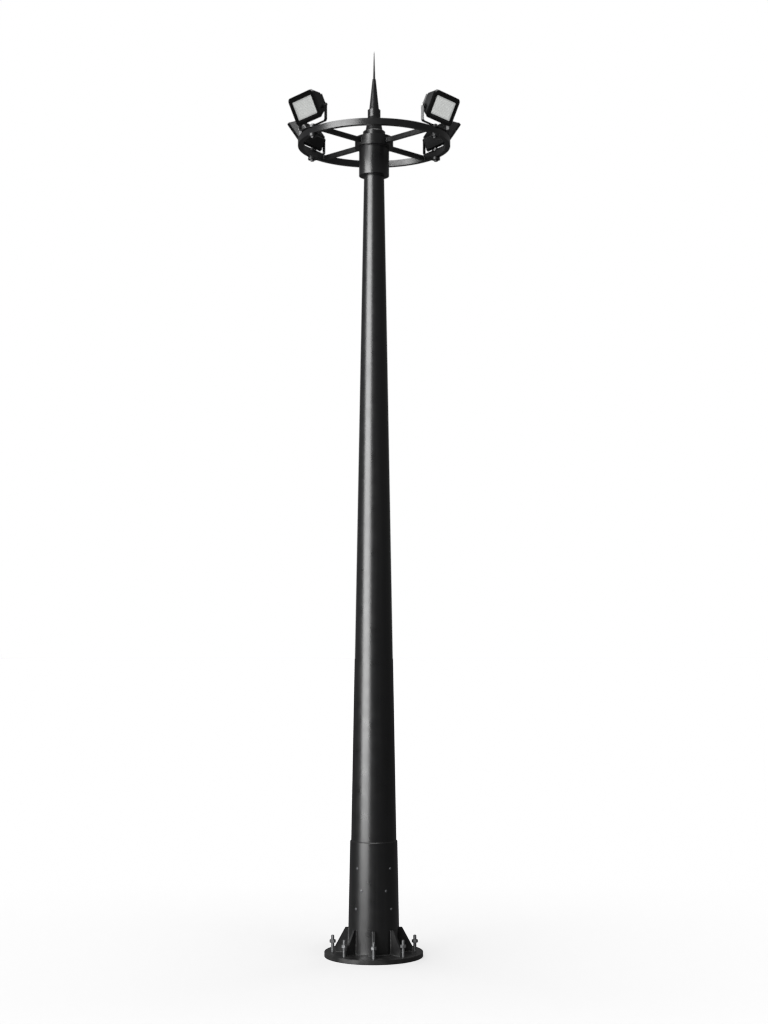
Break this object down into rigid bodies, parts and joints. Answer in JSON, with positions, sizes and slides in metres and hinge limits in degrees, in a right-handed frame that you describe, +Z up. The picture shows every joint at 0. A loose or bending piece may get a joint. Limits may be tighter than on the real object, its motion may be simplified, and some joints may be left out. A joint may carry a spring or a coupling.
{
  "type": "high mast floodlight tower",
  "caption": "Tapered steel high mast on a gusseted anchor flange, with a ring on four arms, floodlights in turning and tilting yokes, and a pointed air terminal.",
  "frame": {"origin": "centre of the base flange's underside, on the ground", "axes": "+Z up along the mast, -Y to the front, +X to the right seen from the front"},
  "size_m": [3.2946, 2.84, 16.657],
  "materials": {
    "mast_paint": "satin black paint on steel",
    "flange_paint": "satin black paint, a little dusty",
    "spire_paint": "satin black paint",
    "yoke_paint": "powder coat, fine texture",
    "lamp_casting": "black powder coat on die-cast aluminium",
    "lamp_hardware": "blackened steel",
    "lamp_glass": "clear toughened glass",
    "galvanised_steel": "hot-dip galvanised"
  },
  "bodies": {
    "mast": {"base_flange": "flange_paint", "base_sleeve": "mast_paint", "gussets": "flange_paint", "anchor_studs": "galvanised_steel", "anchor_nuts": "galvanised_steel", "sleeve_bolts": "mast_paint", "mast_shaft": "mast_paint", "head_collar": "mast_paint", "hub_drum": "mast_paint", "drum_cover": "mast_paint", "head_cap": "mast_paint", "spire_socket": "spire_paint", "spire": "spire_paint", "lightning_rod": "spire_paint", "carrier_ring": "mast_paint", "arm_front_left": "mast_paint", "arm_front_right": "mast_paint", "arm_rear_left": "mast_paint", "arm_rear_right": "mast_paint", "stand_front_left": "yoke_paint", "stand_front_right": "yoke_paint", "stand_rear_left": "yoke_paint", "stand_rear_right": "yoke_paint"},
    "yoke_front_left": {"yoke_front_left": "yoke_paint"},
    "head_front_left": {"housing_front_left": "lamp_casting", "frame_front_left": "lamp_casting", "glass_front_left": "lamp_glass", "tilt_bolts_front_left": "lamp_hardware"},
    "yoke_front_right": {"yoke_front_right": "yoke_paint"},
    "head_front_right": {"housing_front_right": "lamp_casting", "frame_front_right": "lamp_casting", "glass_front_right": "lamp_glass", "tilt_bolts_front_right": "lamp_hardware"},
    "yoke_rear_left": {"yoke_rear_left": "yoke_paint"},
    "head_rear_left": {"housing_rear_left": "lamp_casting", "frame_rear_left": "lamp_casting", "glass_rear_left": "lamp_glass", "tilt_bolts_rear_left": "lamp_hardware"},
    "yoke_rear_right": {"yoke_rear_right": "yoke_paint"},
    "head_rear_right": {"housing_rear_right": "lamp_casting", "frame_rear_right": "lamp_casting", "glass_rear_right": "lamp_glass", "tilt_bolts_rear_right": "lamp_hardware"}
  },
  "joints": [
    {"name": "pan_front_left", "type": "hinge", "parent": "mast", "child": "yoke_front_left", "pos_m": [-1.1124, -0.8082, 14.9775], "axis": [0, 0, 1], "range_deg": [-90, 90]},
    {"name": "tilt_front_left", "type": "hinge", "parent": "yoke_front_left", "child": "head_front_left", "pos_m": [-1.1124, -0.8082, 15.27598], "axis": [0.5878, -0.809, 0], "range_deg": [-26, 64]},
    {"name": "pan_front_right", "type": "hinge", "parent": "mast", "child": "yoke_front_right", "pos_m": [1.1124, -0.8082, 14.9775], "axis": [0, 0, 1], "range_deg": [-90, 90]},
    {"name": "tilt_front_right", "type": "hinge", "parent": "yoke_front_right", "child": "head_front_right", "pos_m": [1.1124, -0.8082, 15.27598], "axis": [0.5878, 0.809, 0], "range_deg": [-26, 64]},
    {"name": "pan_rear_left", "type": "hinge", "parent": "mast", "child": "yoke_rear_left", "pos_m": [-1.1786, 0.70818, 14.9775], "axis": [0, 0, 1], "range_deg": [-90, 90]},
    {"name": "tilt_rear_left", "type": "hinge", "parent": "yoke_rear_left", "child": "head_rear_left", "pos_m": [-1.1786, 0.70818, 15.27598], "axis": [-0.515, -0.8572, 0], "range_deg": [-36, 54]},
    {"name": "pan_rear_right", "type": "hinge", "parent": "mast", "child": "yoke_rear_right", "pos_m": [1.1786, 0.70818, 14.9775], "axis": [0, 0, 1], "range_deg": [-90, 90]},
    {"name": "tilt_rear_right", "type": "hinge", "parent": "yoke_rear_right", "child": "head_rear_right", "pos_m": [1.1786, 0.70818, 15.27598], "axis": [-0.515, 0.8572, 0], "range_deg": [-36, 54]}
  ]
}
